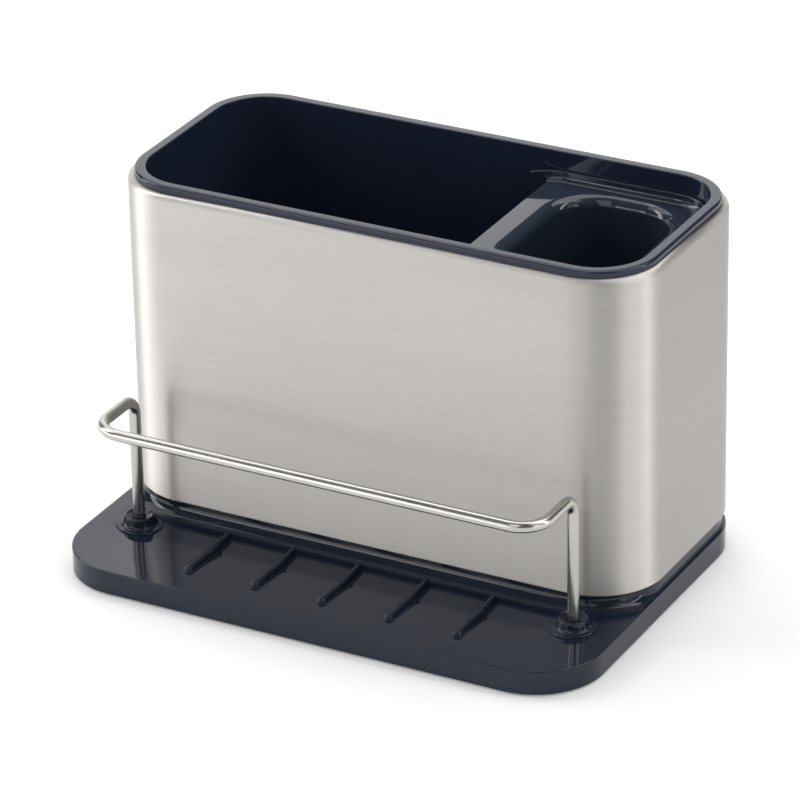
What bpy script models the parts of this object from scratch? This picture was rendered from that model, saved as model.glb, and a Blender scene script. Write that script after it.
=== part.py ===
# Sink caddy: a moulded base with a draining apron, a steel sleeve, a liner with a
# drop-in cup, and a wire rail that plugs into two sockets.
# Units are metres, +Z is up, the front faces -Y. The origin is on the ground plane,
# at the centre of the footprint.
import math

import bmesh
import bpy

# Clearances shared by mating pieces
SEAT_GAP = 0.0003
CUT_OVERRUN = 0.004

# Steel sleeve
SLEEVE_WIDTH = 0.2290
SLEEVE_DEPTH = 0.1070
SLEEVE_HEIGHT = 0.1329
SLEEVE_CORNER = 0.0280
SHEET = 0.0008
SHOULDER_RADIUS = 0.0022
HEM_RADIUS = 0.0012
HEM_FLANGE = 0.0042

# Base tray
APRON_DEPTH = 0.0540
TRAY_MARGIN = 0.0002
FOOT_PROUD = 0.0008
SKIRT_HEIGHT = 0.0097
TRAY_WALL = 0.0024
EDGE_RADIUS = 0.0005
DISH_DEPTH = 0.0019
DISH_FRONT_RUN = 0.0356
DISH_SIDE_RUN = 0.0450
DISH_BACK_RISE = 0.0012
FRONT_STRAIGHT_SHARE = 0.15
DISH_FRONT_SHARES = (0.14, 0.32, 0.54, 0.78, 1.0)

# Plinth on the base, which carries and locates the sleeve
PLINTH_INSET = 0.0012
LEDGE_RISE = 0.0050
COVE_RADIUS = 0.0070
COVE_SIDE_LAND = 0.0006
COVE_TOP_LAND = 0.0008
SPIGOT_RISE = 0.0050
SPIGOT_WALL = 0.0024
SPIGOT_PLAY = 0.0004
WELL_FLOOR_DROP = 0.0045

# Raised draining ribs on the apron
RIB_COUNT = 5
RIB_PITCH = 0.0294
RIB_BACK_WIDTH = 0.0026
RIB_NOSE_WIDTH = 0.0040
RIB_BACK_GAP = 0.0058
RIB_LENGTH = 0.0336
RIB_NOSE_HEIGHT = 0.0022
RIB_BACK_HEIGHT = 0.0029
RIB_EMBED = 0.0008

# Wire rail and its sockets
WIRE_DIAMETER = 0.0047
POST_SIDE_INSET = 0.0186
POST_STANDOFF = 0.0128
RAIL_HEIGHT = 0.0660
RAIL_REACH = 0.0314
TOP_BEND_RADIUS = 0.0070
CORNER_BEND_RADIUS = 0.0113
SOCKET_TOP = 0.0144
SOCKET_FLOOR = 0.0045
SOCKET_PLAY = 0.0004
COLLAR_RADIUS = 0.0059
COLLAR_EDGE = 0.0005
COLLAR_FUNNEL = 0.0010
NECK_RADIUS = 0.0064
NECK_FILLET = 0.0014
FLANGE_RADIUS = 0.0094
FLANGE_THICKNESS = 0.0007
FLANGE_EDGE = 0.0004
SOCKET_TUBE_RADIUS = 0.0052
SOCKET_TUBE_BOTTOM = 0.0020

# Webs and foot seats under the base
WEB_THICKNESS = 0.0016
WEB_CLEARANCE = 0.0010
WEB_ROOT = 0.0010
CROSS_WEB_STEP = 0.0004
APRON_WEB_OFFSET = 0.0260
APRON_WEB_SIDE_GAP = 0.0265
CROSS_WEB_SPACING = 0.0480
CROSS_WEB_COUNT = 3
FOOT_RADIUS = 0.0060
FOOT_THICKNESS = 0.0024
FOOT_SEAT_WALL = 0.0020
FOOT_CORNER_INSET = 0.0225
FOOT_EDGE = 0.0004

# Liner
RIM_INSET = 0.0027
RIM_WIDTH = 0.0045
RIM_HEIGHT = 0.0030
RIM_EDGE = 0.0005
LINER_WALL = 0.0020
LINER_PLAY = 0.0004
LINER_DRAFT = 0.0020
LINER_LIFT = 0.0006
LINER_FLOOR_RADIUS = 0.0060
DRAIN_SLOT_WIDTH = 0.0030
DRAIN_SLOT_LENGTH = 0.0180
DRAIN_SLOT_PITCH = 0.0240
DRAIN_SLOT_COLUMNS = 4
DRAIN_ROW_SPACING = 0.0360

# Cup that drops into the right end of the liner
CUP_PLAY = 0.0006
CUP_WALL = 0.0018
SHELF_DROP = 0.0117
SHELF_REACH = 0.0829
CUP_LIP_HEIGHT = 0.0040
CUP_LIP_THICKNESS = 0.0012
CUP_LIP_FILLET = 0.0025
CUP_EAR = 0.0062
HOLE_LEFT_STRIP = 0.0082
HOLE_RIGHT_LAND = 0.0052
HOLE_SIDE_LAND = 0.0003
HOLE_CORNER_SHARE = 0.81
HOLE_LIP_RADIUS = 0.0048
CUP_DRAFT = 0.0020
CUP_FLOOR_RADIUS = 0.0060
CUP_DRAIN_RADIUS = 0.0025
CUP_DRAIN_PITCH = 0.0180
CUP_DRAIN_COUNT = 3

# Facets
CORNER_STEPS = 8
FRONT_STEPS = 8
SIDE_STEPS = 3
ARC_STEPS = 4
ROUND_SIDES = 20
WIRE_BEVEL_STEPS = 3
SHARP_EDGE_DEGREES = 32.0

# Heights and places that follow from the sizes above
TRAY_EDGE_Z = FOOT_PROUD + SKIRT_HEIGHT
LEDGE_Z = TRAY_EDGE_Z + LEDGE_RISE
SPIGOT_TOP_Z = LEDGE_Z + SPIGOT_RISE
WELL_FLOOR_Z = LEDGE_Z - WELL_FLOOR_DROP
SLEEVE_BOTTOM_Z = LEDGE_Z + SEAT_GAP
SLEEVE_TOP_Z = SLEEVE_BOTTOM_Z + SLEEVE_HEIGHT
RIM_TOP_Z = SLEEVE_TOP_Z + RIM_HEIGHT
LINER_BOTTOM_Z = SPIGOT_TOP_Z + LINER_LIFT
LINER_FLOOR_Z = LINER_BOTTOM_Z + LINER_WALL
SHELF_Z = RIM_TOP_Z - SHELF_DROP
CUP_BOTTOM_Z = LINER_FLOOR_Z + SEAT_GAP

TOTAL_DEPTH = APRON_DEPTH + SLEEVE_DEPTH + TRAY_MARGIN
SLEEVE_Y = TOTAL_DEPTH / 2 - TRAY_MARGIN - SLEEVE_DEPTH / 2
SLEEVE_FRONT_Y = SLEEVE_Y - SLEEVE_DEPTH / 2
TRAY_HALF_X = SLEEVE_WIDTH / 2 + TRAY_MARGIN
TRAY_HALF_Y = TOTAL_DEPTH / 2
TRAY_CORNER = SLEEVE_CORNER + TRAY_MARGIN
PLINTH_FRONT_Y = SLEEVE_FRONT_Y + PLINTH_INSET
SPIGOT_INSET = HEM_FLANGE + SPIGOT_PLAY
RIM_INNER_INSET = RIM_INSET + RIM_WIDTH
TOP_FLANGE = RIM_INNER_INSET - LINER_WALL - LINER_PLAY
POST_X = SLEEVE_WIDTH / 2 - POST_SIDE_INSET
POST_Y = SLEEVE_FRONT_Y - POST_STANDOFF
SHELF_LEFT_EDGE = SLEEVE_WIDTH / 2 - SHELF_REACH
DRAIN_FIELD_X = (SHELF_LEFT_EDGE - SLEEVE_WIDTH / 2 + RIM_INNER_INSET) / 2
WIRE_RADIUS = WIRE_DIAMETER / 2


def clear_scene():
    """Remove whatever the scene holds before modelling."""
    for item in list(bpy.data.objects):
        bpy.data.objects.remove(item, do_unlink=True)


def principled(name, colour, roughness, metallic=0.0):
    """Return a plain Principled BSDF material."""
    material = bpy.data.materials.new(name)
    material.use_nodes = True
    shader = material.node_tree.nodes["Principled BSDF"]
    shader.inputs["Base Color"].default_value = (*colour, 1.0)
    shader.inputs["Roughness"].default_value = roughness
    shader.inputs["Metallic"].default_value = metallic
    return material


def arc_steps(start, end, count):
    """Return count + 1 angles in radians from start to end, given in degrees."""
    return [math.radians(start + (end - start) * step / count) for step in range(count + 1)]


def spread(start, end, count):
    """Return count + 1 evenly spaced values from start to end."""
    return [start + (end - start) * step / count for step in range(count + 1)]


def clamp_unit(value):
    """Limit a value to the range 0 to 1."""
    return min(1.0, max(0.0, value))


def ease(value):
    """Blend from 0 to 1 that starts and ends level."""
    share = clamp_unit(value)
    return share * share * (3.0 - 2.0 * share)


def rounded_outline(half_x, half_y, radius, centre=(0.0, 0.0)):
    """Return points and outward normals round a rounded rectangle, anticlockwise.

    Every outline has the same number of points, so outlines can be bridged.
    """
    corners = (
        (half_x - radius, -half_y + radius, -90.0, SIDE_STEPS),
        (half_x - radius, half_y - radius, 0.0, FRONT_STEPS),
        (-half_x + radius, half_y - radius, 90.0, SIDE_STEPS),
        (-half_x + radius, -half_y + radius, 180.0, FRONT_STEPS),
    )
    points = []
    for index, (corner_x, corner_y, start, straight_steps) in enumerate(corners):
        for angle in arc_steps(start, start + 90.0, CORNER_STEPS):
            normal = (math.cos(angle), math.sin(angle))
            x = centre[0] + corner_x + radius * normal[0]
            y = centre[1] + corner_y + radius * normal[1]
            points.append((x, y, normal))
        next_x, next_y, next_start, _ = corners[(index + 1) % len(corners)]
        end_angle = math.radians(next_start)
        end_x = centre[0] + next_x + radius * math.cos(end_angle)
        end_y = centre[1] + next_y + radius * math.sin(end_angle)
        last_x, last_y, normal = points[-1]
        for step in range(1, straight_steps):
            share = step / straight_steps
            x = last_x + (end_x - last_x) * share
            y = last_y + (end_y - last_y) * share
            points.append((x, y, normal))
    return points


def ring(outline, height):
    """Lift an outline to a height, which may be a number or a function of x and y."""
    if callable(height):
        return [(x, y, height(x, y)) for x, y, _ in outline]
    return [(x, y, height) for x, y, _ in outline]


def sleeve_outline(inset):
    """Outline of the sleeve, moved inwards by inset."""
    return rounded_outline(SLEEVE_WIDTH / 2 - inset, SLEEVE_DEPTH / 2 - inset,
                           SLEEVE_CORNER - inset, (0.0, SLEEVE_Y))


def tray_outline(inset):
    """Outline of the base tray, moved inwards by inset."""
    return rounded_outline(TRAY_HALF_X - inset, TRAY_HALF_Y - inset, TRAY_CORNER - inset)


def link_object(name, mesh, material):
    """Put a mesh into the scene as a named object with its material."""
    item = bpy.data.objects.new(name, mesh)
    bpy.context.scene.collection.objects.link(item)
    if material is not None:
        mesh.materials.append(material)
    mesh.shade_smooth()
    mesh.set_sharp_from_angle(angle=math.radians(SHARP_EDGE_DEGREES))
    return item


def skin_rings(name, rings, material=None, closed_loop=False):
    """Bridge rings of points into one closed solid.

    Open stacks are capped at both ends. A closed loop joins the last ring to the first.
    """
    mesh = bpy.data.meshes.new(name)
    shape = bmesh.new()
    loops = [[shape.verts.new(point) for point in points] for points in rings]
    pairs = list(zip(loops, loops[1:]))
    if closed_loop:
        pairs.append((loops[-1], loops[0]))
    for lower, upper in pairs:
        count = len(lower)
        for index in range(count):
            following = (index + 1) % count
            shape.faces.new((lower[index], lower[following], upper[following], upper[index]))
    if not closed_loop:
        shape.faces.new(loops[0])
        shape.faces.new(loops[-1])
    bmesh.ops.recalc_face_normals(shape, faces=shape.faces)
    shape.to_mesh(mesh)
    shape.free()
    return link_object(name, mesh, material)


def turned_solid(name, profile, centre, material=None):
    """Revolve a profile of (radius, height) pairs about a vertical axis."""
    rings = []
    for radius, height in profile:
        points = []
        for side in range(ROUND_SIDES):
            angle = math.tau * side / ROUND_SIDES
            x = centre[0] + radius * math.cos(angle)
            y = centre[1] + radius * math.sin(angle)
            points.append((x, y, height(x, y) if callable(height) else height))
        rings.append(points)
    return skin_rings(name, rings, material)


def add_boolean(target, tool, operation):
    """Join or cut a target with another solid, which is then only a guide."""
    modifier = target.modifiers.new(tool.name, "BOOLEAN")
    modifier.operation = operation
    modifier.object = tool
    modifier.solver = "EXACT"
    tool.display_type = "WIRE"
    tool.hide_render = True
    tool.hide_set(True)


def dish_height(x, y):
    """Height of the apron's top surface.

    It falls from the front edge to a channel, rises a little to the plinth, and fades
    to the level of the edge at both sides.
    """
    from_front = y + TRAY_HALF_Y
    from_side = min(TRAY_HALF_X - abs(x), TRAY_HALF_Y - y)
    front = clamp_unit(from_front / DISH_FRONT_RUN)
    fall = FRONT_STRAIGHT_SHARE * front + (1.0 - FRONT_STRAIGHT_SHARE) * front ** 2
    back_run = APRON_DEPTH - DISH_FRONT_RUN
    back = clamp_unit((from_front - DISH_FRONT_RUN) / back_run)
    depth = DISH_DEPTH * fall - DISH_BACK_RISE * back
    return TRAY_EDGE_Z - depth * ease(from_side / DISH_SIDE_RUN)


def above_dish(rise):
    """Height function that stays a set rise above the apron's surface."""
    return lambda x, y: dish_height(x, y) + rise


def cove_radius_at(x, normal):
    """Cove radius that fits between the plinth and the tray's edge at this point."""
    room = TRAY_MARGIN + PLINTH_INSET
    if normal[1] < 0.0:
        room = (TRAY_HALF_X - abs(x)) / abs(normal[0])
    return min(room - COVE_SIDE_LAND, COVE_RADIUS)


def cove_ring(angle):
    """One ring of the concave cove, at an angle from its foot to its top."""
    points = []
    for x, y, normal in sleeve_outline(PLINTH_INSET):
        radius = cove_radius_at(x, normal)
        reach = radius * (1.0 - math.sin(angle))
        foot_z = dish_height(x + normal[0] * radius, y + normal[1] * radius)
        height = min(radius, LEDGE_Z - COVE_TOP_LAND - foot_z)
        rise = height * (1.0 - math.cos(angle))
        points.append((x + normal[0] * reach, y + normal[1] * reach, foot_z + rise))
    return points


def dish_rings(inner, outer, drop):
    """Rings over the dished surface between two rings, from the inner to the outer."""
    crease_share = DISH_FRONT_RUN / (APRON_DEPTH + PLINTH_INSET - COVE_RADIUS)
    shares = [crease_share * share for share in reversed(DISH_FRONT_SHARES)]
    rings = []
    for share in [1.0, *shares, 0.0]:
        points = []
        for inside, outside in zip(inner, outer):
            x = outside[0] + (inside[0] - outside[0]) * share
            y = outside[1] + (inside[1] - outside[1]) * share
            points.append((x, y, dish_height(x, y) - drop))
        rings.append(points)
    return rings


def base_shell(name, material):
    """Shell of the base in one skin, from the well over the apron to the underside."""
    well_inset = SPIGOT_INSET + SPIGOT_WALL
    rings = [
        ring(sleeve_outline(well_inset + EDGE_RADIUS), WELL_FLOOR_Z),
        ring(sleeve_outline(well_inset), WELL_FLOOR_Z + EDGE_RADIUS),
        ring(sleeve_outline(well_inset), SPIGOT_TOP_Z),
        ring(sleeve_outline(SPIGOT_INSET + EDGE_RADIUS), SPIGOT_TOP_Z),
        ring(sleeve_outline(SPIGOT_INSET), SPIGOT_TOP_Z - EDGE_RADIUS),
        ring(sleeve_outline(SPIGOT_INSET), LEDGE_Z),
        ring(sleeve_outline(PLINTH_INSET), LEDGE_Z),
    ]
    rings += [cove_ring(angle) for angle in arc_steps(90.0, 90.0 / ARC_STEPS, ARC_STEPS - 1)]
    rings += dish_rings(cove_ring(0.0), ring(tray_outline(EDGE_RADIUS), 0.0), 0.0)
    for angle in arc_steps(45.0, 0.0, 1):
        inset = EDGE_RADIUS * (1.0 - math.cos(angle))
        rings.append(ring(tray_outline(inset), TRAY_EDGE_Z - EDGE_RADIUS * (1.0 - math.sin(angle))))
    rings.append(ring(tray_outline(0.0), FOOT_PROUD))
    rings.append(ring(tray_outline(TRAY_WALL), FOOT_PROUD))
    inner = ring(sleeve_outline(SPIGOT_INSET), 0.0)
    outer = ring(tray_outline(TRAY_WALL), 0.0)
    rings += reversed(dish_rings(inner, outer, TRAY_WALL))
    rings.append(ring(sleeve_outline(SPIGOT_INSET), WELL_FLOOR_Z - TRAY_WALL))
    return skin_rings(name, rings, material)


def draining_rib(name, x):
    """Raised rib with a rounded top that follows the dish to a wider, rounded nose."""
    back_y = SLEEVE_FRONT_Y - RIB_BACK_GAP
    back_half = RIB_BACK_WIDTH / 2
    nose_half = RIB_NOSE_WIDTH / 2
    nose_y = back_y - RIB_LENGTH + nose_half
    stations = []
    for share in spread(0.0, 1.0, FRONT_STEPS):
        y = back_y + (nose_y - back_y) * share
        half_width = back_half + (nose_half - back_half) * share
        height = RIB_BACK_HEIGHT + (RIB_NOSE_HEIGHT - RIB_BACK_HEIGHT) * share
        stations.append((y, half_width, height))
    for angle in arc_steps(0.0, 80.0, ARC_STEPS)[1:]:
        y = nose_y - nose_half * math.sin(angle)
        stations.append((y, nose_half * math.cos(angle), RIB_NOSE_HEIGHT * math.cos(angle)))
    rings = []
    for y, half_width, height in stations:
        bottom = dish_height(x, y) - RIB_EMBED
        top = dish_height(x, y) + height
        round_drop = min(half_width, height) / 2
        points = [(x - half_width, y, bottom), (x + half_width, y, bottom)]
        for angle in arc_steps(0.0, 180.0, ARC_STEPS):
            across = half_width * math.cos(angle)
            points.append((x + across, y, top - round_drop * (1.0 - math.sin(angle))))
        rings.append(points)
    return skin_rings(name, rings)


def socket_boss(name, x):
    """Boss with a round flange and a tapered collar, standing on a tube under the apron."""
    profile = [(SOCKET_TUBE_RADIUS, SOCKET_TUBE_BOTTOM)]
    profile.append((SOCKET_TUBE_RADIUS, above_dish(-TRAY_WALL / 2)))
    profile.append((FLANGE_RADIUS, above_dish(-TRAY_WALL / 2)))
    for angle in arc_steps(0.0, 90.0, 2):
        radius = FLANGE_RADIUS - FLANGE_EDGE * (1.0 - math.cos(angle))
        rise = FLANGE_THICKNESS - FLANGE_EDGE * (1.0 - math.sin(angle))
        profile.append((radius, above_dish(rise)))
    for angle in arc_steps(0.0, 90.0, ARC_STEPS):
        radius = NECK_RADIUS + NECK_FILLET * (1.0 - math.sin(angle))
        rise = FLANGE_THICKNESS + NECK_FILLET * (1.0 - math.cos(angle))
        profile.append((radius, above_dish(rise)))
    for angle in arc_steps(0.0, 90.0, 2):
        radius = COLLAR_RADIUS - COLLAR_EDGE * (1.0 - math.cos(angle))
        profile.append((radius, SOCKET_TOP - COLLAR_EDGE * (1.0 - math.sin(angle))))
    return turned_solid(name, profile, (x, POST_Y))


def socket_cutter(name, x):
    """Blind round socket with a shallow funnel at its mouth."""
    bore = WIRE_RADIUS + SOCKET_PLAY
    mouth = COLLAR_RADIUS - COLLAR_EDGE
    return turned_solid(name, [
        (bore, SOCKET_FLOOR),
        (bore, SOCKET_TOP - COLLAR_FUNNEL),
        (mouth, SOCKET_TOP),
        (mouth, SOCKET_TOP + CUT_OVERRUN),
    ], (x, POST_Y))


def web(name, stations, side, bottom):
    """Thin stiffening web through stations of x, y and top height."""
    rings = []
    for x, y, top in stations:
        rings.append([
            (x - side[0], y - side[1], bottom),
            (x + side[0], y + side[1], bottom),
            (x + side[0], y + side[1], top),
            (x - side[0], y - side[1], top),
        ])
    return skin_rings(name, rings)


def foot_places():
    """Centres of the four foot pads."""
    x = TRAY_HALF_X - FOOT_CORNER_INSET
    y = TRAY_HALF_Y - FOOT_CORNER_INSET
    return [(side_x * x, side_y * y) for side_y in (-1, 1) for side_x in (-1, 1)]


def underside_height(x, y):
    """Height half a wall above the ceiling of the hollow under the base."""
    if y > SLEEVE_FRONT_Y + SPIGOT_INSET:
        return WELL_FLOOR_Z - TRAY_WALL / 2
    return dish_height(x, y) - TRAY_WALL / 2


def base_webs(base):
    """Webs that stiffen the underside of the base."""
    half_web = WEB_THICKNESS / 2
    bottom = FOOT_PROUD + WEB_CLEARANCE
    apron_y = SLEEVE_FRONT_Y - APRON_WEB_OFFSET
    apron_half_x = SLEEVE_WIDTH / 2 - APRON_WEB_SIDE_GAP
    plinth_half_x = SLEEVE_WIDTH / 2 - SPIGOT_INSET + WEB_ROOT
    stations = [(x, apron_y, underside_height(x, apron_y))
                for x in spread(-apron_half_x, apron_half_x, FRONT_STEPS)]
    add_boolean(base, web("apron_web_guide", stations, (0.0, half_web), bottom), "UNION")
    stations = [(x, SLEEVE_Y, underside_height(x, SLEEVE_Y)) for x in (-plinth_half_x, plinth_half_x)]
    add_boolean(base, web("plinth_web_guide", stations, (0.0, half_web), bottom), "UNION")
    wall_back_y = SLEEVE_FRONT_Y + SPIGOT_INSET
    apron_ys = spread(-TRAY_HALF_Y + TRAY_WALL / 2, PLINTH_FRONT_Y + WEB_ROOT, FRONT_STEPS)
    plinth_ys = (wall_back_y - WEB_ROOT, SLEEVE_Y + SLEEVE_DEPTH / 2 - SPIGOT_INSET + WEB_ROOT)
    for index in range(CROSS_WEB_COUNT):
        x = (index - (CROSS_WEB_COUNT - 1) / 2) * CROSS_WEB_SPACING
        stations = [(x, y, underside_height(x, y)) for y in apron_ys]
        stations += [(x, y, WELL_FLOOR_Z - TRAY_WALL / 2) for y in plinth_ys]
        guide = web(f"cross_web_guide_{index + 1}", stations, (half_web, 0.0),
                    bottom + CROSS_WEB_STEP)
        add_boolean(base, guide, "UNION")


def foot_seats(base):
    """Round seats for the foot pads, each with a shallow recess."""
    recess_radius = FOOT_RADIUS + SEAT_GAP
    recess_z = FOOT_THICKNESS + SEAT_GAP
    for index, (x, y) in enumerate(foot_places()):
        top = underside_height(x, y)
        seat = turned_solid(f"foot_seat_guide_{index + 1}", [
            (recess_radius + FOOT_SEAT_WALL, FOOT_PROUD),
            (recess_radius + FOOT_SEAT_WALL, top),
        ], (x, y))
        add_boolean(base, seat, "UNION")
        recess = turned_solid(f"foot_recess_guide_{index + 1}", [
            (recess_radius, FOOT_PROUD - CUT_OVERRUN),
            (recess_radius, recess_z),
        ], (x, y))
        add_boolean(base, recess, "DIFFERENCE")


def build_base(material):
    """Moulded base: apron, plinth, ribs, sockets and the hollow underside."""
    base = base_shell("base_tray", material)
    base_webs(base)
    for index in range(RIB_COUNT):
        x = (index - (RIB_COUNT - 1) / 2) * RIB_PITCH
        add_boolean(base, draining_rib(f"rib_guide_{index + 1}", x), "UNION")
    for side in (-1, 1):
        x = side * POST_X
        label = "left" if side < 0 else "right"
        add_boolean(base, socket_boss(f"boss_guide_{label}", x), "UNION")
        add_boolean(base, socket_cutter(f"socket_guide_{label}", x), "DIFFERENCE")
    foot_seats(base)
    return base


def build_feet(material):
    """Four non-slip pads in the recesses under the base."""
    for index, (x, y) in enumerate(foot_places()):
        turned_solid(f"foot_pad_{index + 1}", [
            (FOOT_RADIUS - FOOT_EDGE, 0.0),
            (FOOT_RADIUS, FOOT_EDGE),
            (FOOT_RADIUS, FOOT_THICKNESS),
        ], (x, y), material)


def build_sleeve(material):
    """Sheet steel sleeve with a rounded shoulder and inward flanges at both ends."""
    profile = []
    for angle in arc_steps(180.0, 90.0, ARC_STEPS):
        profile.append((SHOULDER_RADIUS * (1.0 + math.cos(angle)),
                        SLEEVE_TOP_Z - SHOULDER_RADIUS * (1.0 - math.sin(angle))))
    profile.append((TOP_FLANGE, SLEEVE_TOP_Z))
    profile.append((TOP_FLANGE, SLEEVE_TOP_Z - SHEET))
    inner_shoulder = SHOULDER_RADIUS - SHEET
    for angle in arc_steps(90.0, 180.0, ARC_STEPS):
        profile.append((SHOULDER_RADIUS + inner_shoulder * math.cos(angle),
                        SLEEVE_TOP_Z - SHOULDER_RADIUS + inner_shoulder * math.sin(angle)))
    inner_hem = HEM_RADIUS - SHEET
    for angle in arc_steps(180.0, 270.0, 2):
        profile.append((HEM_RADIUS + inner_hem * math.cos(angle),
                        SLEEVE_BOTTOM_Z + HEM_RADIUS + inner_hem * math.sin(angle)))
    profile.append((HEM_FLANGE, SLEEVE_BOTTOM_Z + SHEET))
    profile.append((HEM_FLANGE, SLEEVE_BOTTOM_Z))
    for angle in arc_steps(270.0, 180.0, ARC_STEPS - 1):
        profile.append((HEM_RADIUS * (1.0 + math.cos(angle)),
                        SLEEVE_BOTTOM_Z + HEM_RADIUS * (1.0 + math.sin(angle))))
    rings = [ring(sleeve_outline(inset), height) for inset, height in profile]
    return skin_rings("steel_sleeve", rings, material, closed_loop=True)


def drain_slot(name, x, y):
    """Rounded slot that passes through the floor of the liner."""
    outline = rounded_outline(DRAIN_SLOT_WIDTH / 2, DRAIN_SLOT_LENGTH / 2,
                              DRAIN_SLOT_WIDTH / 2, (x, y))
    points = [(px, py) for index, (px, py, _) in enumerate(outline) if index % 2 == 0]
    low = LINER_BOTTOM_Z - CUT_OVERRUN
    high = LINER_FLOOR_Z + CUT_OVERRUN
    return skin_rings(name, [
        [(px, py, low) for px, py in points],
        [(px, py, high) for px, py in points],
    ])


def build_liner(material):
    """Open tub that hangs on the sleeve by its proud rim, with drain slots in its floor."""
    outer_inset = RIM_INNER_INSET - LINER_WALL
    bottom_outer = outer_inset + LINER_DRAFT
    bottom_inner = RIM_INNER_INSET + LINER_DRAFT
    underside_z = SLEEVE_TOP_Z + SEAT_GAP
    profile = []
    for angle in arc_steps(270.0, 180.0, ARC_STEPS - 1):
        profile.append((bottom_outer + LINER_FLOOR_RADIUS * (1.0 + math.cos(angle)),
                        LINER_BOTTOM_Z + LINER_FLOOR_RADIUS * (1.0 + math.sin(angle))))
    profile.append((outer_inset, underside_z))
    profile.append((RIM_INSET, underside_z))
    for angle in arc_steps(180.0, 90.0, 2):
        profile.append((RIM_INSET + RIM_EDGE * (1.0 + math.cos(angle)),
                        RIM_TOP_Z - RIM_EDGE * (1.0 - math.sin(angle))))
    for angle in arc_steps(90.0, 0.0, 2):
        profile.append((RIM_INNER_INSET - RIM_EDGE * (1.0 - math.cos(angle)),
                        RIM_TOP_Z - RIM_EDGE * (1.0 - math.sin(angle))))
    inner_radius = LINER_FLOOR_RADIUS - LINER_WALL
    for angle in arc_steps(180.0, 270.0, ARC_STEPS - 1):
        profile.append((bottom_inner + inner_radius * (1.0 + math.cos(angle)),
                        LINER_FLOOR_Z + inner_radius * (1.0 + math.sin(angle))))
    rings = [ring(sleeve_outline(inset), height) for inset, height in profile]
    liner = skin_rings("liner", rings, material)
    for row in (-1, 1):
        for column in range(DRAIN_SLOT_COLUMNS):
            offset = (column - (DRAIN_SLOT_COLUMNS - 1) / 2) * DRAIN_SLOT_PITCH
            x = DRAIN_FIELD_X + offset
            y = SLEEVE_Y + row * DRAIN_ROW_SPACING / 2
            label = f"slot_guide_{'front' if row < 0 else 'back'}_{column + 1}"
            add_boolean(liner, drain_slot(label, x, y), "DIFFERENCE")
    return liner


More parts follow.
